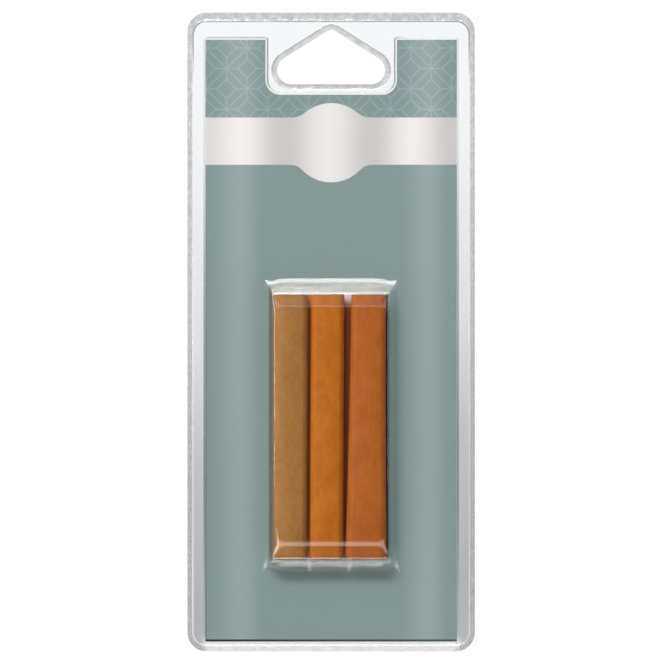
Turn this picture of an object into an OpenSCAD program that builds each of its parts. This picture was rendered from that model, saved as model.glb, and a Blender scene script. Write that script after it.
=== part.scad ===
// Furniture repair wax sticks in a clear hang pack
// Two clear sheets are welded together round the rim and round the hang hole.
// The flat rear sheet and the formed front sheet hold a printed card between them,
// and three loose wax sticks stand in the front sheet's flared pocket.
// Millimetres. X runs to the right, Z runs up, and the front of the pack faces -Y.
// The origin is the top of the hang hole, on the plane where the two sheets meet.

/* [Pack] */
// Width of the welded pack
pack_w = 90; // [80:1:120]
// Height of the welded pack
pack_h = 200; // [180:1:260]
// Radius of the pack's four corners
pack_corner_r = 6; // [4:0.5:9]
// Thickness of the formed front sheet
front_t = 0.4; // [0.3:0.05:0.6]
// Thickness of the flat rear sheet
rear_t = 0.35; // [0.25:0.05:0.6]

/* [Weld] */
// Width of the weld along the left and right edges
weld_side_w = 1.75; // [1.25:0.25:2.25]
// Width of the weld along the top edge
weld_top_w = 2.5; // [1.5:0.25:2.75]
// Width of the weld along the bottom edge
weld_bottom_w = 1.6; // [1:0.1:1.7]
// Width of the weld round the hang hole
weld_hole_w = 1.4; // [1:0.1:1.7]
// Depth by which the weld is pressed below the sheet
weld_sink = 0.12; // [0.05:0.01:0.2]
// Width of the bead squeezed out along the weld
bead_w = 0.45; // [0.3:0.05:0.5]
// Height of the bead above the sheet
bead_rise = 0.1; // [0.05:0.01:0.2]

/* [Hang hole] */
// Width of the hang hole
hole_w = 33.7; // [30:0.1:38]
// Height of the hang hole
hole_h = 17; // [15:0.5:20]
// Radius at the top of the hang hole
hole_top_r = 2.5; // [1.5:0.5:4]
// Radius at the two lower corners of the hang hole
hole_low_r = 4.4; // [3:0.2:6]
// Distance from the pack's top edge down to the hang hole
hole_drop = 5.45; // [5.3:0.05:8]

/* [Card] */
// Clear border left and right of the card
border_side = 5.65; // [4:0.05:8]
// Clear border above the card
border_top = 8.5; // [6:0.1:12]
// Clear border below the card
border_bottom = 3.1; // [3.1:0.1:6]
// Thickness of the card
card_t = 0.42; // [0.3:0.02:0.7]
// Space between the card's notch and the sides of the hang hole
notch_side = 3.7; // [3.6:0.1:6]
// Space between the card's notch and the foot of the hang hole
notch_foot = 3.25; // [3.2:0.05:6]
// Radius of the notch's two inner corners
notch_r = 4.6; // [2:0.2:8]
// Space in front of the card and behind it
card_gap = 0.05; // [0.05:0.01:0.1]
// Space between the card's edge and the raised panel
card_play = 0.5; // [0.3:0.1:0.6]
// Radius of the raised panel's corners, inside
panel_r = 0.6; // [0.4:0.1:2]

/* [Sticks] */
// Width of a wax stick
stick_w = 10.9; // [8:0.1:12]
// Depth of a wax stick, front to back
stick_d = 11.4; // [8:0.1:14]
// Length of a wax stick
stick_l = 82.4; // [60:0.1:100]
// Radius along a stick's four long edges
stick_edge_r = 1.7; // [0.8:0.1:3]
// Radius round a stick's two ends
stick_end_r = 0.7; // [0.3:0.1:1.2]
// Gap between the left stick and the middle stick
stick_gap_left = 0.5; // [0.4:0.05:2]
// Gap between the middle stick and the right stick
stick_gap_right = 1.6; // [1.2:0.05:3]
// Lean of the left stick, top to the right, degrees
lean_left = 0.1; // [0:0.05:0.2]
// Lean of the middle stick, degrees
lean_middle = 0.3; // [0.1:0.05:0.4]
// Lean of the right stick, degrees
lean_right = 0.6; // [0.3:0.05:0.9]

/* [Pocket] */
// Room left of the left stick
room_left = 0.15; // [0.1:0.05:1]
// Room right of the right stick
room_right = 1.5; // [1.1:0.05:2]
// Room in front of the sticks
room_front = 1; // [0.9:0.1:2]
// Room between the sticks and the card
room_back = 0.15; // [0.1:0.05:0.5]
// Play of a stick along the pocket
end_play = 0.4; // [0.3:0.1:2]
// Space left where a stick touches an end of the pocket
seat_gap = 0.12; // [0.1:0.01:0.3]
// Distance from the pack's bottom edge to the foot of the pocket
pocket_foot = 26.3; // [15:0.1:40]
// Slope of the pocket's side walls, degrees
side_draft = 5; // [2:0.5:8]
// Slope of the pocket's end walls, degrees
end_draft = 14; // [8:0.5:18]
// Length of the sloping band at each end of the pocket's front
band_l = 4.2; // [3:0.1:6]
// Drop of the sloping band
band_drop = 0.75; // [0.4:0.05:0.8]
// Radius along the front of the side walls, inside
side_front_r = 0.9; // [0.5:0.1:1.5]
// Radius along the front of the end walls, inside
end_front_r = 0.9; // [0.5:0.1:1.5]
// Radius by which the side walls flare into the panel, outside
side_flare_r = 1.7; // [1:0.1:2.5]
// Radius by which the end walls flare into the panel, outside
end_flare_r = 2.4; // [1.5:0.1:3.5]
// Depth by which the flare's lowest line lies inside the sheet
flare_sink = 0.1; // [0.05:0.01:0.14]

/* [Hidden] */
// Overrun of the cuts
over = 1;
// Steps of a full circle
$fn = 72;
// Share of the flare's hidden run that is drawn
foot_share = 0.5;
// Overlap of a corner's disc with the sides that it rounds
seam = 0.01;

// Heights stand on the plane where the sheets meet and grow towards the front
card_back_h = card_gap;
card_front_h = card_back_h + card_t;
panel_in_h = card_front_h + card_gap;
panel_out_h = panel_in_h + front_t;
stick_back_h = card_front_h + room_back;
stick_front_h = stick_back_h + stick_d;
pocket_in_h = stick_front_h + room_front;
shoulder_in_h = pocket_in_h - band_drop;
flare_low_h = panel_out_h - flare_sink;

// Levels along Z
pack_top = hole_drop;
pack_bottom = pack_top - pack_h;
card_top = pack_top - border_top;
card_bottom = pack_bottom + border_bottom;
notch_floor = -hole_h - notch_foot;

// Half widths across X
pack_half = pack_w / 2;
card_half = pack_half - border_side;
notch_half = hole_w / 2 + notch_side;

// Inside of the pocket across X, from the first stick to the last
pocket_in_w = room_left + stick_w * 3 + stick_gap_left + stick_gap_right + room_right;
side_front_u = pocket_in_w / 2;

// Inside of the pocket along Z, up to the shoulder where the end wall meets the sloping band
end_shoulder_u = (stick_l + end_play) / 2 + seat_gap;
band_slope = atan(band_drop / band_l);
end_base_u = end_shoulder_u + (shoulder_in_h - panel_in_h) * tan(end_draft);
pocket_z = pack_bottom + pocket_foot + end_base_u;

// Room for the pocket's blanks, well past their walls
blank_w = pack_w;
blank_l = pack_h;

// Middle of each stick
stick_left_x = -side_front_u + room_left + stick_w / 2;
stick_middle_x = stick_left_x + stick_w + stick_gap_left;
stick_right_x = stick_middle_x + stick_w + stick_gap_right;
stick_y = -(stick_back_h + stick_front_h) / 2;
stick_z = pocket_z - end_play / 2;

clear_front = [0.86, 0.91, 0.92, 0.35];
clear_rear = [0.80, 0.85, 0.87, 0.35];
card_green = [0.42, 0.51, 0.50];
wax_tan = [0.66, 0.46, 0.27];
wax_amber = [0.74, 0.43, 0.15];
wax_terracotta = [0.69, 0.38, 0.19];

// Corner helpers for an outline drawn anticlockwise
function unit(v) = v / norm(v);
function before(list, i) = list[(i + len(list) - 1) % len(list)];
function after(list, i) = list[(i + 1) % len(list)];
// Positive at an outer corner, negative at an inner one
function turn(list, i) = cross(list[i] - before(list, i), after(list, i) - list[i]);
function to_before(list, i) = unit(before(list, i) - list[i]);
function to_after(list, i) = unit(after(list, i) - list[i]);
function half_angle(list, i) = acos(to_before(list, i) * to_after(list, i)) / 2;
// The two points where a corner's arc leaves its sides, and the arc's centre
function arc_ends(list, i, r) =
    let (reach = r / tan(half_angle(list, i)))
    [list[i] + to_before(list, i) * reach, list[i] + to_after(list, i) * reach];
function arc_centre(list, i, r) =
    list[i] + unit(to_before(list, i) + to_after(list, i)) * r / sin(half_angle(list, i));

// The disc of a corner's arc, which just crosses both sides
module arc_disc(list, i, r) {
    translate(arc_centre(list, i, r)) circle(r + seam);
}

// The kite from the centre of a corner's arc to its ends and past the corner
module corner_kite(list, i, r) {
    centre = arc_centre(list, i, r);
    ends = arc_ends(list, i, r);
    tips = [ends[0], list[i], ends[1]];
    polygon([centre, for (tip = tips) tip + unit(tip - centre) * over]);
}

// A polygon with each corner rounded by a true arc of its own radius
module rounded(list, radii) {
    corners = [0:len(list) - 1];
    difference() {
        // Inner corners are bridged first, then hollowed by their discs
        polygon([for (i = corners)
            each radii[i] > 0 && turn(list, i) < 0 ? arc_ends(list, i, radii[i]) : [list[i]]]);
        for (i = corners)
            if (radii[i] > 0 && turn(list, i) < 0) arc_disc(list, i, radii[i]);
        // Outer corners lose what lies outside their disc
        for (i = corners)
            if (radii[i] > 0 && turn(list, i) > 0)
                difference() {
                    corner_kite(list, i, radii[i]);
                    arc_disc(list, i, radii[i]);
                }
    }
}

// A shape drawn in X and Z, filled from one height to another
module slab(low, high) {
    translate([0, -low, 0])
        rotate([90, 0, 0])
        linear_extrude(high - low) children();
}

// A rounded rectangle, inset from the pack's outline
module rim(inset_side, inset_top, inset_bottom, r) {
    x = pack_half - inset_side;
    top = pack_top - inset_top;
    bottom = pack_bottom + inset_bottom;
    rounded([[-x, bottom], [x, bottom], [x, top], [-x, top]], [r, r, r, r]);
}

module pack_outline() {
    rim(0, 0, 0, pack_corner_r);
}

// The part of the pack inside the rim weld
module weld_inside(more) {
    rim(weld_side_w + more, weld_top_w + more, weld_bottom_w + more,
        pack_corner_r - weld_side_w - more);
}

// Triangular hang hole with round corners, grown all round
module hang_hole(grow) {
    // Centres of the arcs at the top and at the right, and the normal of the side between them
    top = [0, -hole_top_r];
    right = [hole_w / 2 - hole_low_r, hole_low_r - hole_h];
    way = unit(right - top);
    lift = (hole_top_r - hole_low_r) / norm(right - top);
    out = way * lift + [-way.y, way.x] * sqrt(1 - lift * lift);
    // The side's distance from the origin, and the sharp corners where the sides meet
    side = out * top + hole_top_r + grow;
    foot = -hole_h - grow;
    corner_x = (side - out.y * foot) / out.x;
    low_r = hole_low_r + grow;
    rounded(
        [[-corner_x, foot], [corner_x, foot], [0, side / out.y]],
        [low_r, low_r, hole_top_r + grow]
    );
}

// The card's outline, grown all round, with the notch round the hang hole
module card_outline(grow, corner_r) {
    x = card_half + grow;
    notch_x = notch_half - grow;
    top = card_top + grow;
    bottom = card_bottom - grow;
    floor_z = notch_floor + grow;
    inner_r = notch_r - grow;
    rounded(
        [
            [-x, bottom], [x, bottom], [x, top], [notch_x, top],
            [notch_x, floor_z], [-notch_x, floor_z], [-notch_x, top], [-x, top]
        ],
        [corner_r, corner_r, corner_r, corner_r, inner_r, inner_r, corner_r, corner_r]
    );
}

// Half width and half length of the pocket's walls at a height, grown outwards through the sheet
function side_u(h, grow) =
    side_front_u + (pocket_in_h - h) * tan(side_draft) + grow / cos(side_draft);
function end_u(h, grow) =
    end_shoulder_u + (shoulder_in_h - h) * tan(end_draft) + grow / cos(end_draft);
// Height of the sloping band at a distance from the pocket's middle
function band_h(u, grow) =
    shoulder_in_h + (end_shoulder_u - u) * tan(band_slope) + grow / cos(band_slope);
// Where the end wall and the sloping band meet
function shoulder_u(grow) =
    end_shoulder_u + grow * (1 / cos(end_draft) - tan(end_draft) / cos(band_slope))
        / (1 - tan(end_draft) * tan(band_slope));

// The curved foot by which a wall flares into the panel, left and right of the middle
// The wall's half width at the flare's centre is given for the outer face
module flare_feet(centre_u, flare_r, draft, grow) {
    centre = [centre_u, flare_low_h + flare_r];
    r = flare_r + front_t - grow;
    wall = centre - r * [cos(draft), sin(draft)];
    // The foot stops inside the panel's sheet, short of its lowest line
    stop_u = centre_u - sqrt(r * r - pow(r - flare_sink, 2)) * foot_share;
    for (side = [0, 1])
        mirror([side, 0])
        difference() {
            translate([wall.x - flare_r, 0])
                square([stop_u - wall.x + flare_r, wall.y]);
            translate(centre) circle(r + seam);
        }
}

// Cross-section of the pocket, X against height
module side_profile(grow) {
    front_h = pocket_in_h + grow;
    r = side_front_r + grow;
    flare_h = flare_low_h + side_flare_r;
    rounded(
        [
            [-side_u(0, grow), 0], [side_u(0, grow), 0],
            [side_u(front_h, grow), front_h], [-side_u(front_h, grow), front_h]
        ],
        [0, 0, r, r]
    );
    flare_feet(side_u(flare_h, front_t) + side_flare_r / cos(side_draft),
        side_flare_r, side_draft, grow);
}

// Long section of the pocket, Z against height, with the bands run on to a ridge
module end_profile(grow) {
    u = shoulder_u(grow);
    r = end_front_r + grow;
    flare_h = flare_low_h + end_flare_r;
    rounded(
        [
            [-end_u(0, grow), 0], [end_u(0, grow), 0], [u, band_h(u, grow)],
            [0, band_h(0, grow)], [-u, band_h(u, grow)]
        ],
        [0, 0, r, 0, r]
    );
    flare_feet(end_u(flare_h, front_t) + end_flare_r / cos(end_draft),
        end_flare_r, end_draft, grow);
}

// The pocket as a solid, where both sections meet in mitred corners
module pocket_block(grow) {
    translate([0, 0, pocket_z])
        intersection() {
            mirror([0, 1, 0])
                linear_extrude(blank_l, center = true) side_profile(grow);
            rotate([180, -90, 0])
                linear_extrude(blank_w, center = true) end_profile(grow);
        }
}

// Formed front sheet: pressed weld, squeezed bead, raised card panel and flared pocket
module front_shell() {
    color(clear_front)
    difference() {
        union() {
            slab(0, front_t - weld_sink) pack_outline();
            slab(0, front_t)
                difference() {
                    weld_inside(0);
                    hang_hole(weld_hole_w);
                }
            slab(0, front_t + bead_rise) {
                difference() {
                    weld_inside(0);
                    weld_inside(bead_w);
                }
                difference() {
                    hang_hole(weld_hole_w + bead_w);
                    hang_hole(weld_hole_w);
                }
            }
            slab(0, panel_out_h) card_outline(card_play + front_t, panel_r + front_t);
            pocket_block(front_t);
        }
        slab(-over, panel_in_h) card_outline(card_play, panel_r);
        pocket_block(0);
        slab(-over, front_t + over) hang_hole(0);
    }
}

// Flat rear sheet
module rear_shell() {
    color(clear_rear)
    slab(-rear_t, 0)
        difference() {
            pack_outline();
            hang_hole(0);
        }
}

// Printed card between the sheets
module printed_card() {
    color(card_green)
    slab(card_back_h, card_front_h) card_outline(0, 0);
}

// A rectangle round the origin with rounded corners
module rounded_rectangle(w, l, r) {
    rounded([[-w, -l] / 2, [w, -l] / 2, [w, l] / 2, [-w, l] / 2], [r, r, r, r]);
}

// One wax stick, rounded along its edges and round its ends
module wax_stick(x, lean) {
    translate([x, stick_y, stick_z])
        rotate([0, lean, 0])
        intersection() {
            linear_extrude(stick_l, center = true)
                rounded_rectangle(stick_w, stick_d, stick_edge_r);
            rotate([90, 0, 0])
                linear_extrude(stick_d, center = true)
                rounded_rectangle(stick_w, stick_l, stick_end_r);
            rotate([90, 0, 90])
                linear_extrude(stick_w, center = true)
                rounded_rectangle(stick_d, stick_l, stick_end_r);
        }
}

module wax_stick_tan() {
    color(wax_tan) wax_stick(stick_left_x, lean_left);
}

module wax_stick_amber() {
    color(wax_amber) wax_stick(stick_middle_x, lean_middle);
}

module wax_stick_terracotta() {
    color(wax_terracotta) wax_stick(stick_right_x, lean_right);
}

front_shell();
rear_shell();
printed_card();
wax_stick_tan();
wax_stick_amber();
wax_stick_terracotta();
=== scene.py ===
# %% [markdown]
# # A clear hang pack with three wax sticks
# The real object is a flat clear pack: two welded plastic sheets, a printed card between them,
# and three wax sticks in a formed pocket. The CAD model is the fixed frame of this lesson.
# Everything below is in metres in that same frame, so no piece has to be fitted by eye:
# X runs to the right, Z runs up, and the front of the pack faces -Y.

# %% Load the frame
import math
import random

import bmesh
import bpy
from mathutils import Matrix, Vector, noise


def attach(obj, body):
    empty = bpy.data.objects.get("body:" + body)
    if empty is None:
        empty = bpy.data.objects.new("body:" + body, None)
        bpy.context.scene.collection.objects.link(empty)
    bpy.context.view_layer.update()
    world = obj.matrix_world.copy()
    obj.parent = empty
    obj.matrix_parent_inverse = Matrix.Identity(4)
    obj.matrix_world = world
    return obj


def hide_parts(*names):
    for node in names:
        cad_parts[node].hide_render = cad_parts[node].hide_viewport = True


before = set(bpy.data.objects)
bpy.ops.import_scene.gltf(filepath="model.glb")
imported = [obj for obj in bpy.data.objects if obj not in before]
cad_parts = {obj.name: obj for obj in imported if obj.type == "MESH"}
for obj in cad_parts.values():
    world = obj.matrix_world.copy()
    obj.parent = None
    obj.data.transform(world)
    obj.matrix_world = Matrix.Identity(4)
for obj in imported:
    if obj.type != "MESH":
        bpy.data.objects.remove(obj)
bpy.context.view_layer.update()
scene = bpy.context.scene
MM = 0.001

# %% [markdown]
# ## Camera
# The photograph looks straight at the pack from far away, so its edges stay parallel.
# A long lens at a long distance gives that, and keeps a trace of real perspective
# on the pocket's walls, which an orthographic camera would lose.

# %% Camera
FRAME_W = 208.2 * MM
LENS, SENSOR = 300.0, 36.0
AIM_X, AIM_Z = 0.42 * MM, -94.7 * MM
camera_data = bpy.data.cameras.new("camera")
camera_data.lens = LENS
camera_data.sensor_width = SENSOR
camera = bpy.data.objects.new("camera", camera_data)
camera.location = (AIM_X, -FRAME_W * LENS / SENSOR, AIM_Z)
camera.rotation_euler = (math.radians(90), 0, 0)
scene.collection.objects.link(camera)
scene.camera = camera
print("camera stands", round(-camera.location.y, 3), "m in front of the pack")

# %% [markdown]
# ## A short way to write node graphs
# Materials are node graphs. This small helper adds a node, sets its plain values,
# and links the sockets that are given as sources, so a graph reads like a recipe.
# Patterns are placed by Object coordinates, because those stay on a piece when it moves.

# %% Node helper
class Recipe:
    """A material's node graph, written one ingredient at a time."""

    def __init__(self, name):
        self.material = bpy.data.materials.new(name)
        self.material.use_nodes = True
        self.tree = self.material.node_tree
        self.tree.nodes.clear()
        self.output = self.tree.nodes.new("ShaderNodeOutputMaterial")

    def put(self, socket, value):
        if isinstance(value, bpy.types.NodeSocket):
            self.tree.links.new(value, socket)
        elif value is not None:
            socket.default_value = value

    def add(self, kind, settings=None, **inputs):
        node = self.tree.nodes.new("ShaderNode" + kind)
        for key, value in (settings or {}).items():
            setattr(node, key, value)
        for key, value in inputs.items():
            self.put(node.inputs[key.replace("_", " ")], value)
        return node

    def place(self):
        """Where a point lies, in metres."""
        return self.add("TexCoord").outputs["Object"]

    def normal(self):
        """Which way a face looks."""
        return self.add("NewGeometry").outputs["Normal"]

    def axis(self, vector, letter):
        """One of a vector's three parts."""
        return self.add("SeparateXYZ", Vector=vector).outputs[letter]

    def noted(self, name):
        """An amount that was written on the points of the mesh."""
        return self.add("Attribute", {"attribute_name": name}).outputs["Fac"]

    def grain(self, vector, scale, detail):
        """Noise with so many waves in a metre."""
        return self.add("TexNoise", Vector=vector, Scale=scale, Detail=detail).outputs["Fac"]

    def bump(self, strength, depth, height):
        return self.add("Bump", Strength=strength, Distance=depth, Height=height).outputs[0]

    def sum(self, operation, *values):
        """Arithmetic on numbers and sources, by the name Blender gives it."""
        node = self.tree.nodes.new("ShaderNodeMath")
        node.operation = operation
        for socket, value in zip(node.inputs, values):
            self.put(socket, value)
        return node.outputs[0]

    def ramp(self, source, stops, mode="LINEAR"):
        node = self.tree.nodes.new("ShaderNodeValToRGB")
        node.color_ramp.interpolation = mode
        elements = node.color_ramp.elements
        while len(elements) < len(stops):
            elements.new(0.5)
        for element, (at, colour) in zip(elements, stops):
            element.position = at
            element.color = (*colour, 1)
        self.put(node.inputs[0], source)
        return node.outputs[0]

    def span(self, source, low, high, to_low=0.0, to_high=1.0):
        """Turns the range from low to high into another range, 0 to 1 unless it is said."""
        node = self.tree.nodes.new("ShaderNodeMapRange")
        for socket, value in zip(node.inputs, (source, low, high, to_low, to_high)):
            self.put(socket, value)
        return node.outputs[0]

    def blend(self, share, first, second):
        """A colour between two, each a plain colour or a source."""
        node = self.tree.nodes.new("ShaderNodeMix")
        node.data_type = "RGBA"
        self.put(node.inputs[0], share)
        for socket, colour in ((node.inputs[6], first), (node.inputs[7], second)):
            plain = not isinstance(colour, bpy.types.NodeSocket)
            self.put(socket, (*colour, 1) if plain else colour)
        return node.outputs[2]

    def mix(self, share, first, second):
        """A shader between two."""
        node = self.tree.nodes.new("ShaderNodeMixShader")
        for socket, value in zip(node.inputs, (share, first, second)):
            self.put(socket, value)
        return node.outputs[0]

    def finish(self, shader):
        self.tree.links.new(shader, self.output.inputs[0])
        return self.material


def ink(code):
    """A printed colour, from its hex code to the linear numbers that Blender counts in."""
    parts = [int(code[i:i + 2], 16) / 255 for i in (0, 2, 4)]
    return tuple(p / 12.92 if p <= 0.04045 else ((p + 0.055) / 1.055) ** 2.4 for p in parts)


print("card green in linear light:", [round(v, 3) for v in ink("839795")])

# %% [markdown]
# ## Studio
# The pack hangs in front of a bright white wall, with a pale floor below it.
# In the photograph the surroundings are cut out to white, while the clear sheets still show
# the studio's sweep, which fades to grey towards the foot. The wall does the same with painted
# shade: it is white when seen directly, and carries that fade where it is seen through the sheets.

# %% Wall
WALL_Y, WALL_SIZE = 2.6, 8.0
FLOOR_Y, FLOOR_Z = -0.6, -0.46


def plane(name, size, matrix):
    """A square that belongs to the studio, not to the pack."""
    bm = bmesh.new()
    bmesh.ops.create_grid(bm, x_segments=1, y_segments=1, size=size / 2)
    bmesh.ops.transform(bm, matrix=matrix, verts=bm.verts)
    mesh = bpy.data.meshes.new(name)
    bm.to_mesh(mesh)
    bm.free()
    obj = bpy.data.objects.new(name, mesh)
    scene.collection.objects.link(obj)
    return obj


upright = Matrix.Rotation(math.radians(90), 4, "X")
wall = plane("wall", WALL_SIZE,
             Matrix.Translation((0, WALL_Y, FLOOR_Z + WALL_SIZE / 2)) @ upright)
wall.visible_diffuse = False
# The camera sees the pack's top and foot at these heights on the wall
WALL_SCALE = (WALL_Y - camera.location.y) / -camera.location.y
PACK_ENDS = (5 * MM, -195 * MM)
wall_top, wall_foot = [camera.location.z + (z - camera.location.z) * WALL_SCALE for z in PACK_ENDS]
print("wall", WALL_Y, "m behind the pack, seen from", round(wall_foot, 3), "to", round(wall_top, 3))

# %% The wall's painted fade
LEAN = -0.14
FADE = [(0.0, (1.12, 1.13, 1.125)), (0.2, (1.08, 1.09, 1.085)), (0.5, (0.88, 0.88, 0.89)),
        (0.68, (0.64, 0.645, 0.665)), (0.92, (0.52, 0.54, 0.565)), (1.0, (0.56, 0.575, 0.59))]
STRIP_SHARES, STRIP_HALVES = (0.972, 0.984), (41 * MM, 39.4 * MM)
SEEN_BARE, SEEN_STRIP = (1.05, 1.05, 1.05), (0.97, 0.97, 0.97)
recipe = Recipe("studio_wall")
place = recipe.place()
x, z = recipe.axis(place, "X"), recipe.axis(place, "Z")
# The painted shade leans a little: the left is lighter than the right
leaning = recipe.sum("MULTIPLY_ADD", x, LEAN, z)
fade = recipe.ramp(recipe.span(leaning, wall_top, wall_foot), FADE)
# Below the card there is a level strip of painted light
strip_z = recipe.span(recipe.span(z, wall_top, wall_foot), *STRIP_SHARES)
strip_x = recipe.span(recipe.sum("ABSOLUTE", x), *[half * WALL_SCALE for half in STRIP_HALVES])
fade = recipe.blend(recipe.sum("MULTIPLY", strip_z, strip_x), fade, SEEN_STRIP)
through = recipe.add("LightPath").outputs["Transparent Depth"]
seen = recipe.blend(recipe.sum("GREATER_THAN", through, 0.5), SEEN_BARE, fade)
wall.data.materials.append(recipe.finish(recipe.add("Emission", Color=seen).outputs[0]))
print("wall fade:", len(FADE), "stops")

# %% Floor
floor = plane("floor", WALL_SIZE, Matrix.Translation((0, FLOOR_Y, FLOOR_Z)))
floor.visible_glossy = False
floor.visible_shadow = False
recipe = Recipe("studio_floor")
grain = recipe.grain(recipe.place(), 40.0, 4.0)
shade = recipe.ramp(grain, [(0.3, (0.80, 0.80, 0.79)), (0.7, (0.86, 0.86, 0.85))])
floor.data.materials.append(recipe.finish(
    recipe.add("BsdfPrincipled", Base_Color=shade, Roughness=0.6).outputs[0]))
print("floor", -FLOOR_Z, "m below the hole")

# %% [markdown]
# ## Light
# A big soft lamp lights the pack from the upper left, and a second one from behind.
# Clear film shows nothing but what it mirrors, so each highlight in the photograph needs a lamp
# of its own: a narrow strip that stands where that part of the film mirrors it to the camera.
# A bright room would veil the film, so reflections see a dimmer one than the surfaces do.

# %% Room light
ROOM_LIGHT, ROOM_MIRRORED = 0.42, 0.008
world = bpy.data.worlds.new("studio")
scene.world = world
world.use_nodes = True
sky = world.node_tree.nodes["Background"]
sky.inputs["Color"].default_value = (0.98, 0.99, 1.0, 1)
mirrored = world.node_tree.nodes.new("ShaderNodeLightPath").outputs["Is Glossy Ray"]
strength = world.node_tree.nodes.new("ShaderNodeMapRange")
strength.inputs["To Min"].default_value = ROOM_LIGHT
strength.inputs["To Max"].default_value = ROOM_MIRRORED
world.node_tree.links.new(mirrored, strength.inputs["Value"])
world.node_tree.links.new(strength.outputs[0], sky.inputs["Strength"])
scene.view_settings.view_transform = "Standard"
scene.cycles.transparent_max_bounces = 48
print("room light:", ROOM_LIGHT, "and", ROOM_MIRRORED, "in reflections")

# %% Lamps
PACK_MIDDLE = Vector((0, 0, -0.1))


def softbox(name, left, up, distance, size, watts):
    """A rectangular lamp that stands so many degrees to the left of the camera and above it."""
    left, up = math.radians(left), math.radians(up)
    way = Vector((-math.sin(left) * math.cos(up), -math.cos(left) * math.cos(up), math.sin(up)))
    lamp = bpy.data.lights.new(name, "AREA")
    lamp.shape = "RECTANGLE"
    lamp.size, lamp.size_y = size
    lamp.energy = watts
    obj = bpy.data.objects.new(name, lamp)
    obj.location = PACK_MIDDLE + way * distance
    obj.rotation_euler = (-way).to_track_quat("-Z", "Y").to_euler()
    obj.visible_camera = False
    scene.collection.objects.link(obj)
    return obj


# Degrees to the left and up, distance and size in metres, watts
LAMPS = {"key": (12, 31, 3.0, (1.2, 0.5), 63),
         "rear": (205, 35, 3.0, (1.2, 1.2), 50),
         "side": (42, 14, 2.6, (0.7, 1.3), 58)}
STRIPS = {"top_strip": (0, 64, 2.2, (1.6, 2.5), 95),
          "crease_strip": (0, 13, 1.9, (0.9, 0.2), 0.8),
          "band_strip": (0, 20, 1.9, (0.9, 0.2), 0.22),
          "edge_strip": (20, 18, 2.0, (0.15, 1.5), 8),
          "edge_right": (-20, 18, 2.0, (0.15, 1.5), 3),
          "low_left": (16, -14, 1.6, (0.3, 0.46), 1.8),
          "low_strip": (0, -12.5, 1.8, (0.9, 0.2), 1.8),
          "foot_strip": (0, -30, 1.6, (1.2, 0.26), 12)}
lamps = {name: softbox(name, *values) for name, values in (LAMPS | STRIPS).items()}
for name in ("edge_strip", "edge_right", "low_left", "low_strip"):
    lamps[name].data.color = (1.0, 0.86, 0.8)
lamps["band_strip"].data.color = (0.72, 0.68, 0.85)
print("lamps:", list(lamps))

# %% [markdown]
# ## Outlines of the clear sheets
# Every line of the formed sheet is a closed outline with rounded corners: the rim, the weld,
# the raised panel round the card, the hang hole, and each level of the pocket.
# Each corner is one point spun round the middle of its arc. Straight edges join the arcs and
# are cut evenly, so that two outlines of a kind have the same points and can be bridged.

# %% Outline helpers
def outline(bm, corners, radii, h, segments, cuts):
    """A closed outline in X and Z at a height h in front of the weld, all in millimetres.
    Each arc has so many segments, and the sides along X and along Z so many cuts."""
    old = set(bm.edges)
    arcs = []
    for i, r in enumerate(radii):
        here = Vector(corners[i])
        to_last = (Vector(corners[i - 1]) - here).normalized()
        to_next = (Vector(corners[(i + 1) % len(corners)]) - here).normalized()
        half = to_last.angle(to_next) / 2
        start = here + to_last * r / math.tan(half)
        centre = here + (to_last + to_next).normalized() * r / math.sin(half)
        turn = math.copysign(math.pi - 2 * half, to_next.cross(to_last))
        first = bm.verts.new((start.x * MM, -h * MM, start.y * MM))
        spun = bmesh.ops.spin(bm, geom=[first], cent=(centre.x * MM, -h * MM, centre.y * MM),
                              axis=(0, -1, 0), angle=turn, steps=segments)
        arcs.append((first, spun["geom_last"][0]))
    sides = [bm.edges.new((arcs[i - 1][1], arcs[i][0])) for i in range(len(arcs))]
    ways = [side.verts[1].co - side.verts[0].co for side in sides]
    level = [abs(way.x) > abs(way.z) for way in ways]
    for count, wanted in zip(cuts, (True, False)):
        runs = [side for side, flat in zip(sides, level) if flat == wanted]
        bmesh.ops.subdivide_edges(bm, edges=runs, cuts=count)
    return [e for e in bm.edges if e not in old]


def bridge(bm, loops):
    """Joins a row of outlines, and gives the faces between them."""
    faces = []
    for first, second in zip(loops, loops[1:]):
        faces += bmesh.ops.bridge_loops(bm, edges=first + second)["faces"]
    return faces


def fill(bm, *loops):
    """Fills the flat area between an outline and the outlines inside it."""
    edges = [e for loop in loops for e in loop]
    made = bmesh.ops.triangle_fill(bm, edges=edges, use_beauty=True)
    return [f for f in made["geom"] if isinstance(f, bmesh.types.BMFace)]


def points(loop):
    """The points of an outline."""
    return {v for e in loop for v in e.verts}


print("outline helpers ready")

# %% [markdown]
# ## The formed front sheet
# This is the piece that makes the pack: one sheet, formed hot over a mould.
# Its rim is pressed into a knurled weld, which squeezes a bead out along its inner edge.
# A low step raises a panel over the card, and the pocket for the sticks rises from that panel.
# The sheet is built as the mould would draw it: outline by outline from the rim inwards,
# with the flat areas filled, and only then given its thickness.
# Two amounts are written on its points for the material to read: where the film gets a
# painted highlight of milky white, and where it is stepped and bends the light into a grey line.

# %% Notes on the sheet
sheet = bmesh.new()
painted_highlight = sheet.verts.layers.float.new("painted_highlight")
stepped = sheet.verts.layers.float.new("stepped")


def smooth(value, low, high):
    """Rises gently from 0 at low to 1 at high."""
    t = min(1, max(0, (value - low) / (high - low)))
    return t * t * (3 - 2 * t)


def note(layer, loops, amounts, share):
    """Writes an amount on the points of each outline, times a share for the point's X and Z."""
    for loop, amount in zip(loops, amounts):
        for v in points(loop):
            v[layer] = max(v[layer], amount * share(v.co.x / MM, v.co.z / MM))


print("notes:", sheet.verts.layers.float.keys())

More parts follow.
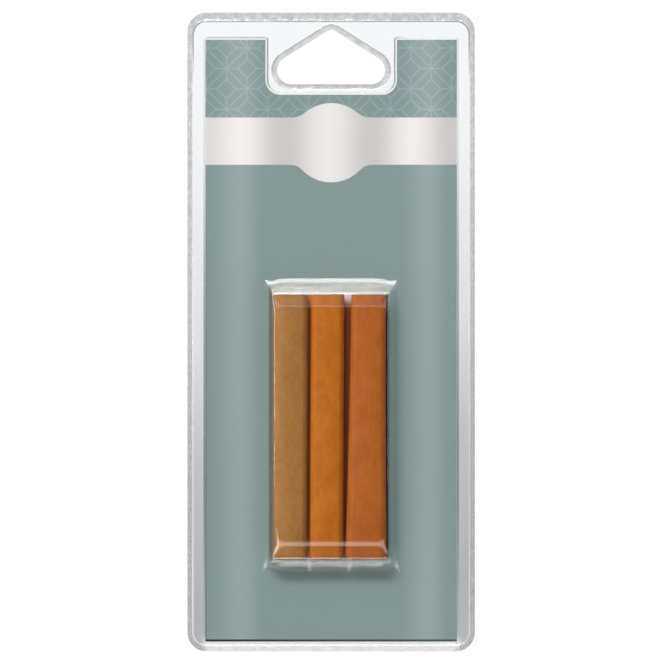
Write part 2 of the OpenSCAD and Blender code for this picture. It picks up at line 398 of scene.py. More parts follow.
# %% Rim weld, bead and flat border
# The pack's sizes in millimetres, as the CAD model has them. Only the side weld is narrower, and
# the bead a trace higher, because the photograph shows them so
PACK_HALF, PACK_TOP, PACK_FOOT, PACK_R = 45.0, 5.45, -194.55, 6.0
WELD_SIDE, WELD_TOP, WELD_FOOT, WELD_HOLE = 1.45, 2.4, 1.6, 1.4
SHEET, WELD_H, FLAT_H, BEAD_H, PANEL_H = 0.4, 0.28, 0.4, 0.52, 0.92
# The bead's outlines: how far inside the weld each lies, and how high
BEAD = [(0.1, 0.375), (0.2, 0.47), (0.27, 0.51), (0.35, BEAD_H), (0.45, 0.5), (0.55, 0.45),
        (0.65, FLAT_H)]


def rim(bm, inset, h):
    """The pack's outline: at -1 its edge, at 0 the weld's inner edge, and then inwards."""
    weld = min(inset, 0) + 1
    more = max(inset, 0)
    x = PACK_HALF - WELD_SIDE * weld - more
    top, foot = PACK_TOP - WELD_TOP * weld - more, PACK_FOOT + WELD_FOOT * weld + more
    r = PACK_R - WELD_SIDE * weld - more
    return outline(bm, [(-x, foot), (x, foot), (x, top), (-x, top)], [r] * 4, h, 14, (124, 300))


rim_edge = rim(sheet, -1, WELD_H)
weld_edge = rim(sheet, 0, WELD_H)
rim_weld = bridge(sheet, [rim_edge, weld_edge])
bead_loops = [weld_edge] + [rim(sheet, inset, h) for inset, h in BEAD]
bridge(sheet, bead_loops)
print("rim weld:", len(rim_weld), "cells")


# %% The bead's lines
def along_top(x, z):
    return 0.8 * smooth(z, -18, 0)


def down_sides(x, z):
    """Grows twice on the way down, ends above the foot, and is weaker on the right."""
    grown = 0.35 * smooth(-z, 50, 100) + 0.35 * smooth(-z, 140, 175)
    return grown * smooth(z, -193.5, -191) * (1 if x < 0 else 0.7)


# The bead shows as a grey line along the top, and down the sides a painted highlight makes it a
# white one
note(stepped, bead_loops, (0, 1, 1, 1, 1, 1, 1, 0), along_top)
note(painted_highlight, bead_loops, (0, 0.7, 1, 0.6, 0.2, 0, 0, 0), down_sides)
print("white bead:", sum(v[painted_highlight] > 0 for v in sheet.verts), "points")

# %% [markdown]
# ## Hang hole
# The pack hangs from a rounded triangle, which is welded and beaded like the rim so that the
# two sheets stay closed round it. Its sides touch the arcs of the three corners, so one
# function can draw the hole at any growth and the weld keeps an even width.

# %% Hang hole with its own weld
HOLE_W, HOLE_H, HOLE_TOP_R, HOLE_LOW_R = 33.7, 17.0, 2.5, 4.4


def hang_hole(bm, grow, h):
    """The rounded triangle of the hang hole, grown all round."""
    top = Vector((0, -HOLE_TOP_R))
    right = Vector((HOLE_W / 2 - HOLE_LOW_R, HOLE_LOW_R - HOLE_H))
    way = (right - top).normalized()
    lift = (HOLE_TOP_R - HOLE_LOW_R) / (right - top).length
    out = way * lift + Vector((-way.y, way.x)) * math.sqrt(1 - lift * lift)
    side = out.dot(top) + HOLE_TOP_R + grow
    foot = -HOLE_H - grow
    x = (side - out.y * foot) / out.x
    low_r, top_r = HOLE_LOW_R + grow, HOLE_TOP_R + grow
    corners = [(-x, foot), (x, foot), (0, side / out.y)]
    return outline(bm, corners, [low_r, low_r, top_r], h, 16, (30, 30))


hole_edge = hang_hole(sheet, 0, WELD_H)
hole_weld_edge = hang_hole(sheet, WELD_HOLE, WELD_H)
hole_weld = bridge(sheet, [hole_edge, hole_weld_edge])
hole_bead = [hole_weld_edge] + [hang_hole(sheet, WELD_HOLE + inset, h) for inset, h in BEAD]
bridge(sheet, hole_bead)
# The bead's grey line is weaker below the hole, where the hole's own edge shows instead
note(stepped, hole_bead, (0.5, 0.7, 0.7, 0.6, 0.4, 0.2, 0.1, 0),
     lambda x, z: 0.4 + 0.6 * smooth(z, -15.5, -12))
note(stepped, [hole_edge], [1], lambda x, z: smooth(-z, 14, 16.5))
print("hole weld:", len(hole_weld), "cells")

# %% [markdown]
# ## Raised panel
# A step less than a millimetre high runs round the card and its notch and holds the card in
# place. It is drawn as six close outlines, so that the step is rounded and mirrors the light
# as a thin line. The flat border then fills what lies between rim, hole and step.

# %% Raised panel over the card
CARD_HALF, CARD_TOP, CARD_FOOT = 39.35, -3.05, -191.45
NOTCH_HALF, NOTCH_FLOOR, NOTCH_R = 20.55, -20.25, 4.6
# At its sides the step stands a little closer to the card than elsewhere
SIDE_CLOSER, CARD_R = 0.3, 0.1
# The step's outlines: how far outside the card each lies, and how high
STEP = [(0.96, FLAT_H), (0.93, 0.43), (0.84, 0.59), (0.75, 0.75), (0.66, 0.89), (0.6, PANEL_H)]


def panel(bm, grow, h):
    """The card's outline with its notch, grown all round."""
    x, top, foot = CARD_HALF + grow - SIDE_CLOSER, CARD_TOP + grow, CARD_FOOT - grow
    notch, floor_z = NOTCH_HALF - grow, NOTCH_FLOOR + grow
    r, notch_r = CARD_R + grow, NOTCH_R - grow
    corners = [(-x, foot), (x, foot), (x, top), (notch, top), (notch, floor_z),
               (-notch, floor_z), (-notch, top), (-x, top)]
    return outline(bm, corners, [r, r, r, r, notch_r, notch_r, r, r], h, 8, (6, 12))


def step_line(x, z):
    """Grows down the sides, is strong at the top left, and is gone at the foot."""
    if abs(x) > 39:
        share = 0.25 + 0.75 * smooth(-z, 30, 95) - 0.7 * smooth(-z, 150, 175)
    else:
        share = 0.4 if x > 21 or z < -18 else 0.9
    return share * smooth(z, -191.9, -190.5)


step_loops = [panel(sheet, grow, h) for grow, h in STEP]
bridge(sheet, step_loops)
note(stepped, step_loops, (0, 1, 1, 1, 1, 0), step_line)
border = fill(sheet, bead_loops[-1], hole_bead[-1], step_loops[0])
print("flat border:", len(border), "faces")

# %% [markdown]
# ## The pocket
# The pocket's walls follow two sections, one across and one along it. At every height the
# pocket is a rectangle whose width comes from the first section and whose length comes from
# the second, so its corners are mitred as on the mould. Each section starts with a hollow flare
# at the card, goes on as a leaning wall, and ends in a rounded nose. At both ends a sloping
# band leads from the nose to the flat front.

# %% The pocket's two sections
POCKET_Z, FRONT_H = -123.8, 13.42
SIDE_U, SIDE_DRAFT = 18.59, math.tan(math.radians(5))
END_U, END_DRAFT = 44.76, math.tan(math.radians(14))
# The middle and the radius of each flare and nose, and the heights where the walls begin and end
SIDE_FLARE, END_FLARE = (21.25, 2.52, 1.7), (46.66, 3.22, 2.4)
SIDE_ROUND, END_ROUND = (17.40, 12.12, 1.3), (40.79, 11.49, 1.3)
SIDE_WALL, END_WALL = (2.37, 12.23), (2.64, 11.8)
BAND_U, BAND_H, BAND_START = 41.52, 12.676, 12.766
# The sloping band's slope and the radius of its crease: sharp at the top, soft at the foot
TOP_BAND, FOOT_BAND = (0.176, 2.5), (0.154, 22.0)


def flare(arc, h):
    """Half a size on the hollow arc at the card."""
    u, centre_h, r = arc
    return u - math.sqrt(max(0, r * r - (centre_h - h) ** 2))


def nose(arc, h):
    """Half a size on the round arc towards the front."""
    u, centre_h, r = arc
    return u + math.sqrt(max(0, r * r - (h - centre_h) ** 2))


def half_width(h):
    if h < SIDE_WALL[0]:
        return flare(SIDE_FLARE, h)
    return SIDE_U + (FRONT_H - h) * SIDE_DRAFT if h < SIDE_WALL[1] else nose(SIDE_ROUND, h)


def half_length(h, band):
    if h < END_WALL[0]:
        return flare(END_FLARE, h)
    if h < END_WALL[1]:
        return END_U - (h - PANEL_H) * END_DRAFT
    if h < BAND_START:
        return nose(END_ROUND, h)
    slope, r = band
    angle, drop = math.atan(slope), FRONT_H - h
    if drop > r * (1 - math.cos(angle)):
        return BAND_U + (BAND_H - h) / slope
    crease = BAND_U + (BAND_H - FRONT_H) / slope - r * math.tan(angle / 2)
    return crease + math.sqrt(drop * (2 * r - drop))


def pocket_size(h):
    length = half_length(h, TOP_BAND) + half_length(h, FOOT_BAND)
    return round(2 * half_width(h), 2), round(length, 2)


print("pocket at its foot:", pocket_size(PANEL_H), "mm, at its front:", pocket_size(FRONT_H), "mm")

# %% [markdown]
# ## Rings of the pocket
# The sections are now read at many heights, close together where they curve, and each height
# gives one ring. Bridging the rings gives the walls. The ring round the foot lies flat on the
# panel and keeps the long thin triangles of the panel away from the curved flare.

# %% The pocket's rings
LEVELS = [PANEL_H, 0.96, 1.05, 1.2, 1.42, 1.72, 2.05, 2.4, 2.7, 3.4, 5.0, 5.3,
          5.45, 5.6, 5.75, 5.9, 6.2, 7.0, 9.0, 10.8, 11.6, 11.85, 12.1,
          12.3, 12.5, 12.65, 12.74, BAND_START, 12.78, 12.9, 13.05, 13.15,
          13.24, 13.32, 13.385, FRONT_H]
FOOT_ROOM, FOOT_R = 2.0, 0.6


def pocket_ring(bm, u, top, foot, r, h):
    low, high = POCKET_Z - foot, POCKET_Z + top
    corners = [(-u, low), (u, low), (u, high), (-u, high)]
    return outline(bm, corners, [r] * 4, h, 6, (72, 48))


def corner_radius(h):
    """Tight at the card, and wider in two stages towards the front."""
    return 0.45 + 0.5 * smooth(h, 9, 12.7) + 2.4 * smooth(h, 12.7, FRONT_H)


foot_u = half_width(PANEL_H) + FOOT_ROOM
foot_v = half_length(PANEL_H, TOP_BAND) + FOOT_ROOM
pocket_foot = pocket_ring(sheet, foot_u, foot_v, foot_v, FOOT_R, PANEL_H)
rings = [pocket_foot]
for h in LEVELS:
    top, foot = half_length(h, TOP_BAND), half_length(h, FOOT_BAND)
    rings.append(pocket_ring(sheet, half_width(h), top, foot, corner_radius(h), h))
pocket_faces = bridge(sheet, rings)
print("pocket:", len(pocket_faces), "faces in", len(rings), "rings")

# %% [markdown]
# ## Marks of the forming
# Hot film doesn't follow a mould exactly. It is drawn in beside the corners of the pocket, stands
# out there as small pinched ears, and the ears get a painted highlight of milky white. The
# photograph also shows two shallow ribs in the foot wall, also with a painted highlight, a faint
# line across the head wall, and long edges that grow softer towards the foot. Each mark is a small
# nudge to the points of the finished rings.

# %% Pinched ears, ribs and soft lower edges
RIBS, RIB_W, RIB_RISE, RIB_HIGHLIGHT = (-6.8, 5.7), 0.5, 0.3, 0.45
EDGE_DRAW, LINE_RISE, LINE_H, LINE_W = 1.6, 0.3, 5.6, 0.3
# How far each end is drawn in and bulges, how far its ears stand out, and how white their painted
# highlight is
HEAD, FOOT = (0.5, 0.1, 0.3, 0.25), (0.9, 0.3, 0.9, 0.8)
# Beside each corner: depth, place and width of the hollow in the end and of the one in the side
END_HOLLOW, SIDE_HOLLOW = (0.4, 18.2, 1.2), (0.35, 42.5, 1.3)


def hump(value, middle, width):
    """A soft hump, 1 in the middle."""
    return math.exp(-((value - middle) / width) ** 2)


def hollow(shape, value):
    """The depth of a hollow at a place."""
    depth, middle, width = shape
    return depth * hump(value, middle, width)


for v in {v for f in pocket_faces for v in f.verts} - points(pocket_foot):
    x, h, z = v.co.x / MM, -v.co.y / MM, v.co.z / MM - POCKET_Z
    side, end = abs(x), abs(z)
    out_x, out_z = math.copysign(MM, x), math.copysign(MM, z)
    drawn, bulge, ear, white = HEAD if z > 0 else FOOT
    low = 1 - smooth(h, PANEL_H, 10)
    by_side, by_end = smooth(side, 13.5, 19.8), smooth(end, 38, 44.2)
    # The end bulges in the middle, is drawn in beside each corner, and the corner is an ear
    v.co.z += out_z * (bulge - drawn * by_side - hollow(END_HOLLOW, side)) * by_end * low
    v.co.x += out_x * (ear * by_end - hollow(SIDE_HOLLOW, end)) * by_side * low
    # The ears get a painted highlight: their film is made milky white
    raised = smooth(h, 0.95, 1.5) * (1 - smooth(h, 5, 9))
    v[painted_highlight] = white * smooth(side, 18.9, 20.4) * smooth(end, 42.5, 44.2) * raised
    # Towards the foot the front's long edges are drawn softer
    soft = smooth(-z, 16, 41) ** 2 * smooth(h, 12.6, FRONT_H) * by_side
    v.co.x -= out_x * EDGE_DRAW * soft
    if z > 0:
        v.co.z += MM * LINE_RISE * hump(h, LINE_H, LINE_W) * smooth(end, 40, 42)
    else:
        rib = sum(hump(x, at, RIB_W) for at in RIBS)
        # The ribs get a painted highlight: their film is made milky white
        v[painted_highlight] += RIB_HIGHLIGHT * rib * smooth(end, 41, 42) * smooth(h, 0.95, 1.8)
        on_wall = smooth(h, 1.2, 2.6) * (1 - smooth(h, 10.5, 11.8))
        v.co.z -= MM * RIB_RISE * rib * by_end * on_wall
print("whitened:", sum(v[painted_highlight] > 0.05 for v in sheet.verts), "points")

# %% Flat faces
front_face = fill(sheet, rings[-1])
panel_face = fill(sheet, step_loops[-1], pocket_foot)
print("flat faces:", len(front_face), "in front of the sticks,", len(panel_face), "over the card")

# %% [markdown]
# ## Knurl
# The welding tool has a fine pattern that presses small pits into the two films and makes the
# weld sparkle. The weld's cells are cut smaller and each gets a point in its middle (poke),
# which is moved in or out by a random amount. The seed keeps every run the same.

# %% Knurl of the welds
KNURL_OUT, KNURL_IN = 0.09, 0.07
WELD_SLOT = 1
random.seed(7)
for band, rows in ((rim_weld, 2), (hole_weld, 1)):
    inside = set(band)
    edges = {e for f in band for e in f.edges}
    across = [e for e in edges if len(inside & set(e.link_faces)) == 2]
    bmesh.ops.subdivide_edges(sheet, edges=across, cuts=rows, use_grid_fill=True)
for crisp in (bead_loops[-1], hole_bead[-1], step_loops[0], step_loops[-1],
              rings[0], rings[1], rings[-1]):
    for e in crisp:
        e.smooth = False
bmesh.ops.recalc_face_normals(sheet, faces=sheet.faces)
if sum(f.normal.y * f.calc_area() for f in sheet.faces) > 0:
    bmesh.ops.reverse_faces(sheet, faces=sheet.faces)


def pressed(face):
    """True for a face that lies at the weld's own height."""
    return all(abs(v.co.y + WELD_H * MM) < 1e-7 for v in face.verts)


weld_faces = [f for f in sheet.faces if pressed(f)]
for f in weld_faces:
    f.material_index = WELD_SLOT
knurl = bmesh.ops.poke(sheet, faces=weld_faces, offset=0, center_mode="MEAN")
for v in knurl["verts"]:
    v.co.y += random.uniform(-KNURL_OUT, KNURL_IN) * MM
print("knurl:", len(knurl["verts"]), "points")

# %% [markdown]
# ## Thickness
# A formed sheet keeps nearly the same thickness everywhere. Every point gets a twin, moved
# inwards along its normal by that thickness, and the two skins are bridged at the rim and at the
# hole. The shell factor moves a twin further at a bend, so that the walls on both sides of it
# stay as thick as the rest.

# %% Thickness of the sheet
SHELL_LIMIT, REAR_GAP = 1.4, 0.02
sheet.normal_update()
inward = {v: -v.normal * min(v.calc_shell_factor(), SHELL_LIMIT) * SHEET * MM for v in sheet.verts}
copy = bmesh.ops.duplicate(sheet, geom=sheet.verts[:] + sheet.edges[:] + sheet.faces[:])
for v, shift in inward.items():
    twin = copy["vert_map"][v]
    twin.co += shift
    twin.co.y = min(twin.co.y, -REAR_GAP * MM)
for edge_loop in (rim_edge, hole_edge):
    twins = [copy["edge_map"][e] for e in edge_loop]
    bmesh.ops.bridge_loops(sheet, edges=edge_loop + twins)
bmesh.ops.recalc_face_normals(sheet, faces=sheet.faces)
print("sheet:", len(sheet.faces), "faces, open edges:", sum(not e.is_manifold for e in sheet.edges))

# %% The front sheet as a piece
SHARP_ANGLE = math.radians(38)


def piece(name, bm, body, node):
    """Makes an object of a finished shape, and says which body it rides and what it replaces."""
    mesh = bpy.data.meshes.new(name)
    bm.to_mesh(mesh)
    bm.free()
    mesh.shade_smooth()
    marked = [e.index for e in mesh.edges if e.use_edge_sharp]
    mesh.set_sharp_from_angle(angle=SHARP_ANGLE)
    for index in marked:
        mesh.edges[index].use_edge_sharp = True
    obj = bpy.data.objects.new(name, mesh)
    scene.collection.objects.link(obj)
    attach(obj, body)
    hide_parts(node)
    print(name, "has", len(mesh.polygons), "faces")
    return obj


front_sheet = piece("front_sheet", sheet, "pack", "front_shell")

# %% [markdown]
# ## Clear plastic
# The sheet is clear film: most light goes straight through, a little is reflected,
# and the film is faintly milky, which shows where it is seen edge on.
# A transparent shader mixed with a glossy one by Fresnel gives that without the noise of true
# refraction in so thin a sheet.

# %% Clear film
MILK_FACE, MILK_EDGE, MILK_END, MILK_HIGHLIGHT = 0.0003, 0.04, 0.026, 0.35
FILM_HAZE = (0.89, 0.885, 0.86, 1)
# Edge on, the long walls get painted shade, and the left one a painted brown reflection of the
# stick beside it
LEFT_WALL, RIGHT_WALL = (0.63, 0.52, 0.44), (0.84, 1.0, 0.98)
# The end walls reflect a dimmer light than the rest, warmer at the head than at the foot
HEAD_SHINE, FOOT_SHINE = (0.82, 0.74, 0.67), (0.85, 0.86, 0.82)
# The low steps round the card and along the welds bend the light away, and show as grey lines
STEP_TONE, STEP_SHINE = (0.5, 0.51, 0.51), (0.3, 0.3, 0.3)


def film_gloss(recipe, ior, bump):
    """Share of light that a face of the film reflects, the same from outside and from within."""
    inside = recipe.add("NewGeometry").outputs["Backfacing"]
    either = recipe.span(inside, 0, 1, ior, 1 / ior)
    return recipe.add("Fresnel", IOR=either, Normal=bump).outputs[0]


def clear_film(name, tint):
    recipe = Recipe(name)
    place = recipe.place()
    facing = recipe.add("LayerWeight", Blend=0.35).outputs["Facing"]
    up = recipe.sum("ABSOLUTE", recipe.axis(recipe.normal(), "Z"))
    on_right = recipe.span(recipe.axis(place, "X"), -5 * MM, 5 * MM)
    at_head = recipe.span(recipe.axis(place, "Z"), -125 * MM, -120 * MM)
    edge_on, end_wall = recipe.span(facing, 0.66, 0.84), recipe.span(up, 0.7, 0.88)
    step = recipe.noted("stepped")
    wall_tone = recipe.blend(on_right, LEFT_WALL, RIGHT_WALL)
    tone = recipe.blend(step, recipe.blend(edge_on, tint, wall_tone), STEP_TONE)
    clear = recipe.add("BsdfTransparent", Color=tone).outputs[0]
    # Milky where it is seen edge on, where it was drawn over the pocket's ends, and where a painted
    # highlight is noted
    milk = recipe.span(facing, 0.0, 1.0, MILK_FACE, MILK_EDGE)
    milk = recipe.sum("ADD", milk, recipe.span(up, 0.2, 0.9, 0.0, MILK_END))
    milk = recipe.sum("MULTIPLY_ADD", recipe.noted("painted_highlight"), MILK_HIGHLIGHT, milk)
    haze = recipe.add("BsdfDiffuse", Color=FILM_HAZE).outputs[0]
    shine = recipe.blend(end_wall, recipe.blend(edge_on, (1, 1, 1), wall_tone),
                         recipe.blend(at_head, FOOT_SHINE, HEAD_SHINE))
    shine = recipe.blend(step, shine, STEP_SHINE)
    # The film is a little wavy
    wave = recipe.sum("MULTIPLY_ADD", recipe.grain(place, 900.0, 3.0), 0.06,
                      recipe.grain(place, 90.0, 2.0))
    bump = recipe.bump(0.002, 0.4 * MM, wave)
    gloss = recipe.add("BsdfAnisotropic", Color=shine, Roughness=0.08, Normal=bump).outputs[0]
    body = recipe.mix(milk, clear, haze)
    return recipe.finish(recipe.mix(film_gloss(recipe, 1.45, None), body, gloss))


clear_front = clear_film("clear_front", (0.985, 0.988, 0.988))
clear_rear = clear_film("clear_rear", (0.98, 0.985, 0.988))
print("clear materials:", clear_front.name, clear_rear.name)

# %% [markdown]
# ## Pressed weld
# The weld is the same film, made hazy by its knurl. It is a second material on the front sheet,
# with a fine bump for the sparkle. The photograph shows it clearer along the foot and round the
# hang hole, so the share of haze depends on where a point lies. The flat rear sheet keeps the
# shape it has in the CAD model and only gets its film.

# %% Weld and rear sheet
CLEAN_TONE, KNURL_TONE, WELD_LINE = (0.96, 0.96, 0.96), (0.84, 0.845, 0.85), (0.72, 0.72, 0.73)
WELD_HAZE = (0.24, 0.25, 0.26, 1)


def weld_film(name):
    recipe = Recipe(name)
    place = recipe.place()
    z = recipe.axis(place, "Z")
    from_middle = recipe.sum("ABSOLUTE", recipe.axis(place, "X"))
    # Along the foot the weld is made clearer than at the sides and corners
    corner = recipe.span(from_middle, 38.5 * MM, 40.5 * MM)
    haze_share = recipe.sum("MAXIMUM", corner, recipe.span(z, -193.4 * MM, -190 * MM))
    # Round the hang hole the weld is clearer, with a dark line along one edge
    in_z = recipe.sum("MULTIPLY", recipe.sum("LESS_THAN", z, 2 * MM),
                      recipe.sum("GREATER_THAN", z, -20 * MM))
    hole = recipe.sum("MULTIPLY", in_z, recipe.span(from_middle, 20 * MM, 19 * MM))
    haze_share = recipe.sum("MULTIPLY", haze_share, recipe.span(hole, 0, 1, 1, 0.45))
    tone = recipe.blend(haze_share, CLEAN_TONE, KNURL_TONE)
    tone = recipe.blend(recipe.noted("stepped"), tone, WELD_LINE)
    clear = recipe.add("BsdfTransparent", Color=tone).outputs[0]
    cloud = recipe.grain(place, 420.0, 3.0)
    milk = recipe.span(cloud, 0.32, 0.68, 0.06, recipe.span(haze_share, 0, 1, 0.16, 0.55))
    speck = recipe.add("TexVoronoi", Vector=place, Scale=1500.0).outputs["Distance"]
    bump = recipe.bump(0.5, 0.1 * MM, speck)
    haze = recipe.add("BsdfDiffuse", Color=WELD_HAZE, Normal=bump).outputs[0]
    gloss = recipe.add("BsdfAnisotropic", Color=(1, 1, 1, 1), Roughness=0.16,
                       Normal=bump).outputs[0]
    body = recipe.mix(milk, clear, haze)
    return recipe.finish(recipe.mix(film_gloss(recipe, 1.5, bump), body, gloss))


weld = weld_film("pressed_weld")
front_sheet.data.materials.append(clear_front)
front_sheet.data.materials.append(weld)
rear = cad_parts["rear_shell"]
rear.data.materials.clear()
rear.data.materials.append(clear_rear)
print("front sheet:", [m.name for m in front_sheet.data.materials])

# %% [markdown]
# ## Printed card
# The card is a matt coated board. Its print is drawn by nodes from the card's own X and Z:
# a grey-green ground with two paler sheens, a lattice of fine lines above a silver band,
# and a round bulge in the middle of that band. The places of names and words stay bare.
# Distances are turned into millimetres first, so each number can be read off the real card.
# The board keeps the shape it has in the CAD model, so this step makes only its material.

# %% Ground and silver band
recipe = Recipe("card_print")
place = recipe.place()
x = recipe.sum("DIVIDE", recipe.axis(place, "X"), MM)
z = recipe.sum("DIVIDE", recipe.axis(place, "Z"), MM)


def across_card(stops):
    """Places a colour ramp on X, from the card's left edge to its right edge."""
    share = recipe.span(x, -CARD_HALF, CARD_HALF)
    placed = [((at + CARD_HALF) / (2 * CARD_HALF), ink(code)) for at, code in stops]
    return recipe.ramp(share, placed, "EASE")


def away(value, middle):
    """Distance from a middle, on either side."""
    return recipe.sum("ABSOLUTE", recipe.sum("SUBTRACT", value, middle))


GROUND, SHEEN = "839795", "96a6a5"
SILVER_TOP, SILVER_FOOT, BULGE_Z, BULGE_R, BULGE_BLEND = -27.4, -42.2, -35.3, 12.4, 3.0
ground = across_card([(-38.5, GROUND), (-28.5, SHEEN), (-20.4, GROUND),
                      (20.3, GROUND), (30.3, SHEEN), (37.8, GROUND)])
silver = across_card([(-38.5, "dbd8d8"), (-28.5, "efeceb"), (-14.8, "cac7c6"), (-1, "e9e7e6"),
                      (12.8, "cac7c6"), (25.3, "edeae9"), (37.8, "cac7c6")])
silver_mid, silver_half = (SILVER_TOP + SILVER_FOOT) / 2, (SILVER_TOP - SILVER_FOOT) / 2
to_band = recipe.sum("SUBTRACT", away(z, silver_mid), silver_half)
from_bulge = recipe.sum("SUBTRACT", z, BULGE_Z)
square = recipe.sum("MULTIPLY_ADD", x, x, recipe.sum("MULTIPLY", from_bulge, from_bulge))
to_bulge = recipe.sum("SUBTRACT", recipe.sum("SQRT", square), BULGE_R)
# A smooth minimum rounds the inner corners where the bulge leaves the band
to_silver = recipe.sum("SMOOTH_MIN", to_band, to_bulge, BULGE_BLEND)
on_silver = recipe.span(to_silver, 0.1, -0.1)
print("silver band:", round(2 * silver_half, 1), "mm high, bulge", 2 * BULGE_R, "mm wide")

# %% [markdown]
# ## Lattice
# The pattern is made of squares that stand on their corners, each with a smaller square inside
# and mitre lines between the two. Turning X and Z by 45 degrees and repeating them by their
# fraction makes every cell the same, so one cell's distances draw the whole lattice.

# %% Lattice of fine lines
PITCH, INNER, LINE, LINE_STRENGTH = 9.05, 0.235, 0.15, 0.75
STAR_X, STAR_Z = -26.3, -5.65
PALER, PALER_LIFT = (1.25, 1.22, 1.22), (0.05, 0.05, 0.05)
dx, dz = recipe.sum("SUBTRACT", x, STAR_X), recipe.sum("SUBTRACT", z, STAR_Z)


def cell(value):
    """Distance from the middle of the cell, in shares of its pitch."""
    turned = recipe.sum("DIVIDE", value, PITCH * math.sqrt(2))
    return away(recipe.sum("FRACT", turned), 0.5)


u, v = cell(recipe.sum("ADD", dx, dz)), cell(recipe.sum("SUBTRACT", dx, dz))
far = recipe.sum("MAXIMUM", u, v)
near_border = recipe.sum("SUBTRACT", 0.5, far)
near_square = away(far, INNER)
near_mitre = recipe.sum("MAXIMUM", recipe.sum("MULTIPLY", away(u, v), 0.7),
                        recipe.sum("SUBTRACT", INNER, far))
nearest = recipe.sum("MINIMUM", recipe.sum("MINIMUM", near_border, near_square), near_mitre)
lines = recipe.span(nearest, LINE / PITCH * 1.6, LINE / PITCH * 0.6, 0.0, LINE_STRENGTH)
lines = recipe.sum("MULTIPLY", lines, recipe.sum("GREATER_THAN", z, SILVER_TOP))
paler = recipe.add("VectorMath", {"operation": "MULTIPLY_ADD"})
for socket, value in zip(paler.inputs, (ground, PALER, PALER_LIFT)):
    recipe.put(socket, value)
ground = recipe.blend(lines, ground, paler.outputs[0])
print_colour = recipe.blend(on_silver, ground, silver)
print("lattice pitch:", PITCH, "mm")

# %% [markdown]
# ## Marks, painted shade and painted light on the card
# A dark line runs along the card's foot. Behind the sticks the board gets painted shade, brown
# as the wax, which stands in for the dark gaps between the sticks and is darkest beside the
# pocket's right wall. A painted patch of light sits on the board at the top of the widest gap, and
# the step throws a narrow painted shadow on the card's left edge.

# %% Foot line, painted gap shade, painted light patch and painted shadow
FOOT_LINE = 0.7
SHADE_HALF, SHADE_MID, SHADE_REACH = 18.0, -124.0, 41.1
PATCH_X, PATCH_HALF, PATCH_RISE, PATCH_TOP = 5.4, (1.6, 1.2), (-86.3, -83.5), -82.4
SHADOW_IN, SHADOW_GROWS, SHADOW = (0.45, 0.15), (-40, -95), 0.8
foot = recipe.span(z, CARD_FOOT + FOOT_LINE + 0.1, CARD_FOOT + FOOT_LINE - 0.1)
dark = across_card([(-39, "1f2a28"), (0, "3a4745"), (39, "4c5957")])
print_colour = recipe.blend(foot, print_colour, dark)
# Painted shade behind the sticks, brown as the wax and darkest beside the right wall
in_x = recipe.sum("SUBTRACT", recipe.sum("ABSOLUTE", x), SHADE_HALF)
in_z = recipe.sum("SUBTRACT", away(z, SHADE_MID), SHADE_REACH)
gap_shaded = recipe.span(recipe.sum("MAXIMUM", in_x, in_z), 0.3, -0.5)
gap_shade = recipe.blend(recipe.span(x, 0, 3), ink("e47406"), ink("b05004"))
gap_shade = recipe.blend(recipe.span(x, 16.6, 17.0), gap_shade, ink("20140c"))
print_colour = recipe.blend(gap_shaded, print_colour, gap_shade)
# A painted patch of light at the top of the widest gap
light_patch = recipe.span(away(x, PATCH_X), *PATCH_HALF)
light_patch = recipe.sum("MULTIPLY", light_patch, recipe.span(z, *PATCH_RISE))
light_patch = recipe.sum("MULTIPLY", light_patch, recipe.sum("LESS_THAN", z, PATCH_TOP))
print_colour = recipe.blend(light_patch, print_colour, ink("f4e4e0"))
in_step = recipe.span(x, *[inset - CARD_HALF for inset in SHADOW_IN])
in_step = recipe.sum("MULTIPLY", in_step, recipe.span(z, *SHADOW_GROWS, 0, SHADOW))
print_colour = recipe.blend(in_step, print_colour, ink("3c4a48"))
print("stain:", 2 * SHADE_HALF, "x", 2 * SHADE_REACH, "mm")

# %% Board and finish of the card
fibre = recipe.grain(place, 1400.0, 4.0)
board = recipe.ramp(fibre, [(0.3, ink("b9b6ae")), (0.7, ink("c9c6bf"))])
# Only the face towards the front is printed
front = recipe.sum("LESS_THAN", recipe.axis(recipe.normal(), "Y"), -0.5)
colour = recipe.blend(front, board, print_colour)
paper = recipe.grain(place, 700.0, 5.0)
card_print = recipe.finish(recipe.add(
    "BsdfPrincipled", Base_Color=colour, Roughness=recipe.span(paper, 0.2, 0.8, 0.42, 0.56),
    Normal=recipe.bump(0.08, 0.05 * MM, paper)).outputs[0])
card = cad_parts["printed_card"]
card.data.materials.clear()
card.data.materials.append(card_print)
print("card print:", len(recipe.tree.nodes), "nodes")

# %% [markdown]
# ## Wax sticks
# Each stick is a cast bar of soft wax: rounded edges, slightly uneven faces, and faint drag
# marks along it. A cube is stretched, its long edges and ends are bevelled, and it is cut
# along its length so that a little noise can unsettle the faces as casting does.
# The faces are crowned, and in the photograph each bar leans a little and the third one grows
# wider towards its foot.

# %% Shape of a stick
STICK_W, STICK_D, STICK_L, STICK_Y, STICK_Z = 10.9, 11.4, 82.4, -6.32, -124.0
EDGE_R, END_R, CROWN, SLICES = 1.7, 0.7, 0.2, 40
SINK, SWAY, SWAY_SCALE, SWELL_POWER = 0.03, 0.03, 55, 1.6


def rounded(bm, edges, radius, segments):
    bmesh.ops.bevel(bm, geom=edges, offset=radius * MM, offset_type="OFFSET", segments=segments,
                    profile=0.5, affect="EDGES", material=-1)


def rise(edge):
    return abs(edge.verts[0].co.z - edge.verts[1].co.z)


